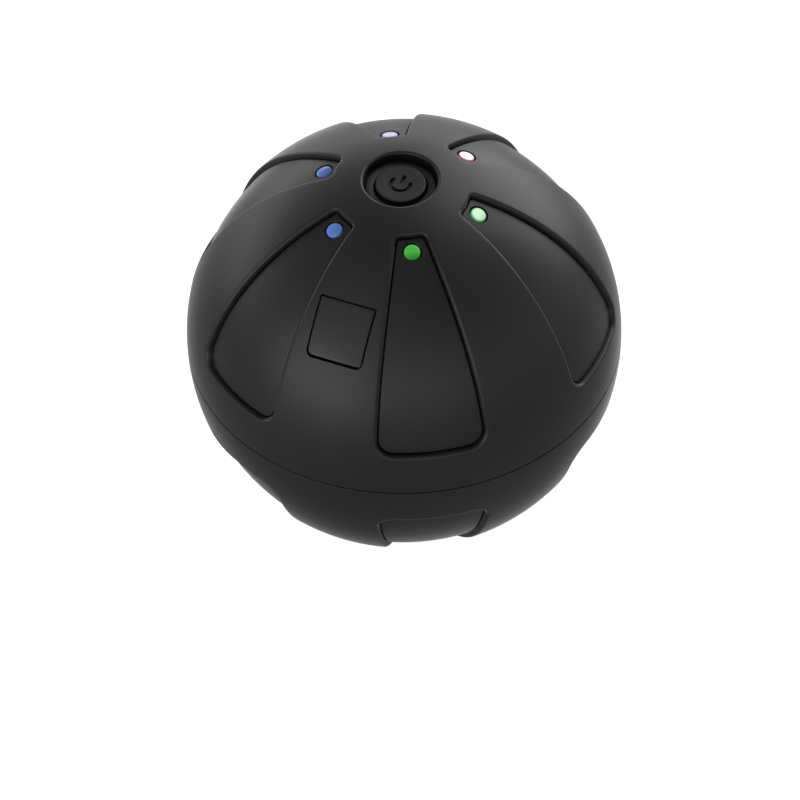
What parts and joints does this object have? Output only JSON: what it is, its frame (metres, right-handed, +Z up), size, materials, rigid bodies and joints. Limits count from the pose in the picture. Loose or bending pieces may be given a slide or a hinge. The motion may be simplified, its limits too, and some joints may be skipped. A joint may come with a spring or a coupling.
{
  "type": "massage ball",
  "caption": "Vibrating massage ball: black rubber sphere with sunken petal-shaped panels, a recessed power button at the top, small indicator lamps round it and a hinged charging port cover.",
  "frame": {"origin": "centre of the ball, midway between the rim of the button well and the flat foot", "axes": "+Z up through the power button; the front petal, with the green lamp, faces -Y; +X to the right of it"},
  "size_m": [0.079, 0.079, 0.0778],
  "materials": {
    "skin": "satin",
    "port_cover": "satin",
    "button": "satin",
    "foot": "matte",
    "seal": "matte",
    "shell": "matte",
    "chassis": "matte",
    "socket_tongue": "satin",
    "lamp": "satin",
    "circuit_board": "satin",
    "steel": "satin",
    "weight_metal": "satin",
    "copper": "satin",
    "magnet": "matte",
    "cell_wrap": "gloss",
    "lead_red": "satin",
    "lead_black": "satin",
    "lens_green": "gloss",
    "lens_pale_green": "gloss",
    "lens_white": "gloss",
    "lens_pale_blue": "gloss",
    "lens_deep_blue": "gloss",
    "lens_blue": "gloss"
  },
  "bodies": {
    "ball": {"battery_cell_1": "cell_wrap", "battery_cell_2": "cell_wrap", "battery_contact_left": "steel", "battery_contact_right": "steel", "battery_retainer": "chassis", "bearing_left": "copper", "bearing_right": "copper", "board_screw_1": "steel", "board_screw_2": "steel", "board_screw_3": "steel", "brush_1": "magnet", "brush_2": "magnet", "charge_board": "circuit_board", "charge_socket": "steel", "chassis_lower": "chassis", "chassis_screw_1": "steel", "chassis_screw_2": "steel", "chassis_upper": "chassis", "control_board": "circuit_board", "foot_cap": "foot", "foot_screw": "steel", "lamp_1": "lamp", "lamp_2": "lamp", "lamp_3": "lamp", "lamp_4": "lamp", "lamp_5": "lamp", "lamp_6": "lamp", "light_pipe_1": "lens_green", "light_pipe_2": "lens_pale_green", "light_pipe_3": "lens_white", "light_pipe_4": "lens_pale_blue", "light_pipe_5": "lens_deep_blue", "light_pipe_6": "lens_blue", "lower_shell": "shell", "lower_skin": "skin", "magnet_1": "magnet", "magnet_2": "magnet", "motor_can": "steel", "motor_end_cap": "chassis", "motor_lead_black": "lead_black", "motor_lead_red": "lead_red", "seam_seal": "seal", "shell_screw_1": "steel", "shell_screw_2": "steel", "shell_screw_3": "steel", "socket_tongue": "socket_tongue", "switch_body": "chassis", "upper_shell": "shell", "upper_skin": "skin"},
    "button": {"power_button": "button"},
    "plunger": {"switch_plunger": "lamp"},
    "cover": {"port_cover": "port_cover"},
    "rotor": {"motor_shaft": "steel", "armature_core": "steel", "armature_windings": "copper", "commutator": "copper", "weight_left": "weight_metal", "weight_right": "weight_metal"}
  },
  "joints": [
    {"name": "button_press", "type": "slide", "parent": "ball", "child": "button", "axis": [0, 0, -1], "range_m": [0, 0.0005], "stiffness_N_per_m": 2000},
    {"name": "plunger_press", "type": "slide", "parent": "ball", "child": "plunger", "axis": [0, 0, -1], "range_m": [0, 0.0005]},
    {"name": "cover_hinge", "type": "hinge", "parent": "ball", "child": "cover", "pos_m": [-0.0122, -0.02112, 0.03107], "axis": [-0.866, 0.5, 0], "range_deg": [0, 100]},
    {"name": "rotor_spin", "type": "hinge", "parent": "ball", "child": "rotor", "pos_m": [0, 0, -0.01], "axis": [1, 0, 0], "continuous": true}
  ],
  "couplings": [
    {"joint": "plunger_press", "follows": "button_press", "ratio": 1}
  ]
}
